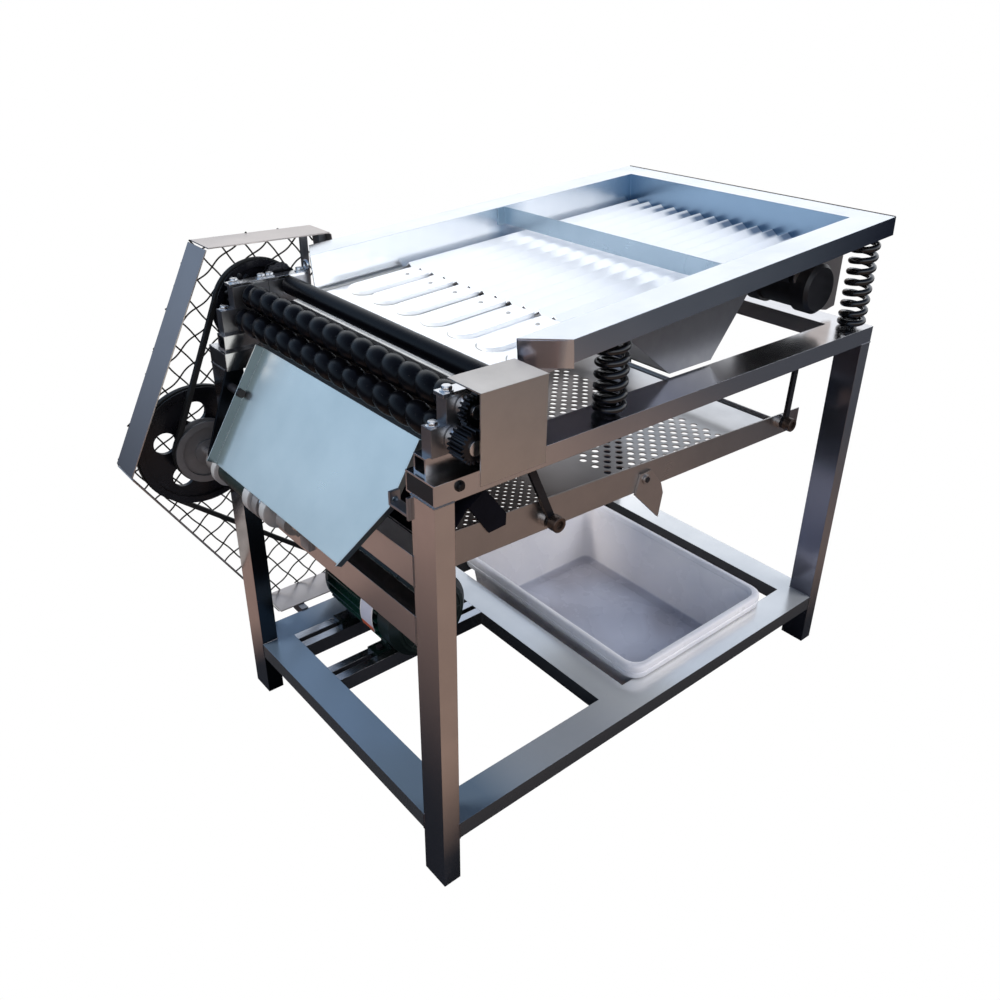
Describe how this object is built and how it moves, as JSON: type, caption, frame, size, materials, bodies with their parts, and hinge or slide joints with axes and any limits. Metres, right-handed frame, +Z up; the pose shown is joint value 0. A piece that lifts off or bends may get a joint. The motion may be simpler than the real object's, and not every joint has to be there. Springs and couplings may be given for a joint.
{
  "type": "powered pea sheller",
  "caption": "Belt-driven pea sheller on an open steel frame, with a sprung feed tray, spiral rubber rollers, a chute, a swinging sieve, a mesh belt guard and a tub.",
  "frame": {"origin": "bottom centre of the bounding box, on the floor", "axes": "+X from the roller end to the hopper end, +Y from the gear side to the belt side, +Z up"},
  "size_m": [1.139, 0.745, 0.8956],
  "materials": {
    "frame_steel": "brushed",
    "black_plastic": "matt",
    "block_steel": "machined",
    "bright_steel": "bright",
    "cover_steel": "satin",
    "chain_steel": "oiled",
    "chute_steel": "satin",
    "black_steel": "satin",
    "cast_grey": "painted grey",
    "belt_rubber": "matt",
    "guard_steel": "satin",
    "mesh_wire": "dark wire",
    "motor_green": "gloss green",
    "motor_black": "satin",
    "black_rubber": "glossy",
    "cast_black": "black paint",
    "tray_steel": "bright satin",
    "spring_black": "gloss black",
    "sieve_steel": "satin",
    "white_plastic": "moulded"
  },
  "bodies": {
    "frame": {"legs": "frame_steel", "top_rails": "frame_steel", "cross_rails": "frame_steel", "base_rails": "frame_steel", "rail_plugs": "black_plastic", "motor_rails": "frame_steel", "bearing_tubes": "frame_steel", "lower_blocks": "block_steel", "upper_blocks": "block_steel", "clamp_bars": "block_steel", "clamp_bolts": "bright_steel", "gear_cover": "cover_steel", "roller_chain": "chain_steel", "chute": "chute_steel", "chute_brackets": "block_steel", "frame_bolts": "black_steel", "countershaft_bearings": "cast_grey", "upper_belt": "belt_rubber", "lower_belt": "belt_rubber", "guard_rim": "guard_steel", "guard_mesh": "mesh_wire", "guard_brackets": "block_steel", "motor_body": "motor_green", "motor_end_covers": "motor_black", "terminal_box": "motor_green", "hanger_lugs": "frame_steel", "front_springs": "spring_black", "rear_springs": "spring_black"},
    "motor_rotor": {"motor_rotor": "bright_steel", "motor_pulley": "cast_black"},
    "countershaft": {"countershaft": "bright_steel", "small_pulley": "cast_grey", "big_pulley": "cast_black", "eccentric": "cast_grey"},
    "push_rod": {"push_rod": "cast_grey"},
    "drive_shaft": {"drive_shaft": "bright_steel", "drive_gear": "chain_steel", "top_pulley": "cast_black"},
    "lower_roller": {"lower_roller_rubber": "black_rubber", "lower_roller_shaft": "bright_steel", "lower_roller_gear": "chain_steel"},
    "upper_roller": {"upper_roller_rubber": "black_rubber", "upper_roller_shaft": "bright_steel", "upper_roller_gears": "chain_steel"},
    "feed_roller": {"feed_roller": "black_rubber", "feed_sprocket": "chain_steel"},
    "feed_tray": {"tray_shell": "tray_steel", "tray_floor": "tray_steel", "tray_gate": "tray_steel", "lane_guides": "tray_steel", "tray_hangers": "block_steel", "vibrator_motor": "cast_grey"},
    "vibrator": {"vibrator_weights": "bright_steel"},
    "front_links": {"front_links": "black_steel"},
    "sieve": {"sieve_walls": "sieve_steel", "sieve_floor": "sieve_steel"},
    "rear_links": {"rear_links": "black_steel"},
    "outlet_flap": {"outlet_flap": "sieve_steel"},
    "tub": {"tub": "white_plastic"}
  },
  "joints": [
    {"name": "motor_spin", "type": "hinge", "parent": "frame", "child": "motor_rotor", "pos_m": [-0.1855, 0.1375, 0.205], "axis": [0, 1, 0], "continuous": true},
    {"name": "countershaft_spin", "type": "hinge", "parent": "frame", "child": "countershaft", "pos_m": [-0.4355, 0.2575, 0.505], "axis": [0, 1, 0], "continuous": true},
    {"name": "push_rod_turn", "type": "hinge", "parent": "countershaft", "child": "push_rod", "pos_m": [-0.4355, 0.0725, 0.502], "axis": [0, 1, 0], "continuous": true},
    {"name": "drive_shaft_spin", "type": "hinge", "parent": "frame", "child": "drive_shaft", "pos_m": [-0.30864, -0.03, 0.74101], "axis": [0, 1, 0], "continuous": true},
    {"name": "lower_roller_spin", "type": "hinge", "parent": "frame", "child": "lower_roller", "pos_m": [-0.3665, -0.03, 0.745], "axis": [0, 1, 0], "continuous": true},
    {"name": "upper_roller_spin", "type": "hinge", "parent": "frame", "child": "upper_roller", "pos_m": [-0.35004, -0.03, 0.78146], "axis": [0, 1, 0], "continuous": true},
    {"name": "feed_roller_spin", "type": "hinge", "parent": "frame", "child": "feed_roller", "pos_m": [-0.28344, -0.03, 0.78796], "axis": [0, 1, 0], "continuous": true},
    {"name": "tray_shake", "type": "slide", "parent": "frame", "child": "feed_tray", "axis": [0, 0, 1], "range_m": [-0.004, 0.004], "stiffness_N_per_m": 90000, "springref_m": 0.0024, "deforming": ["front_springs", "rear_springs"]},
    {"name": "vibrator_spin", "type": "hinge", "parent": "feed_tray", "child": "vibrator", "pos_m": [0.4715, -0.2115, 0.76916], "axis": [0, 1, 0], "continuous": true},
    {"name": "front_link_swing", "type": "hinge", "parent": "frame", "child": "front_links", "pos_m": [-0.2235, -0.03, 0.656], "axis": [0, 1, 0], "range_deg": [-1.5, 1.5]},
    {"name": "sieve_pitch", "type": "hinge", "parent": "front_links", "child": "sieve", "pos_m": [-0.1715, -0.03, 0.541], "axis": [0, 1, 0], "range_deg": [-1.7, 1.7]},
    {"name": "rear_link_swing", "type": "hinge", "parent": "frame", "child": "rear_links", "pos_m": [0.4131, -0.03, 0.66], "axis": [0, 1, 0], "range_deg": [-1.5, 1.5]},
    {"name": "outlet_swing", "type": "hinge", "parent": "sieve", "child": "outlet_flap", "pos_m": [0.0375, -0.285, 0.538], "axis": [0, 1, 0], "range_deg": [-25, 25]},
    {"name": "tub_lift", "type": "slide", "parent": "frame", "child": "tub", "axis": [0, 0, 1], "range_m": [0, 0.12]}
  ],
  "couplings": [
    {"joint": "countershaft_spin", "follows": "motor_spin", "ratio": 0.34906},
    {"joint": "push_rod_turn", "follows": "motor_spin", "ratio": -0.34906},
    {"joint": "drive_shaft_spin", "follows": "motor_spin", "ratio": 0.24479},
    {"joint": "lower_roller_spin", "follows": "motor_spin", "ratio": -0.46511},
    {"joint": "upper_roller_spin", "follows": "motor_spin", "ratio": 0.46511},
    {"joint": "feed_roller_spin", "follows": "motor_spin", "ratio": 0.46511},
    {"joint": "sieve_pitch", "follows": "front_link_swing", "ratio": -1.1004},
    {"joint": "rear_link_swing", "follows": "front_link_swing", "ratio": 0.91518}
  ]
}
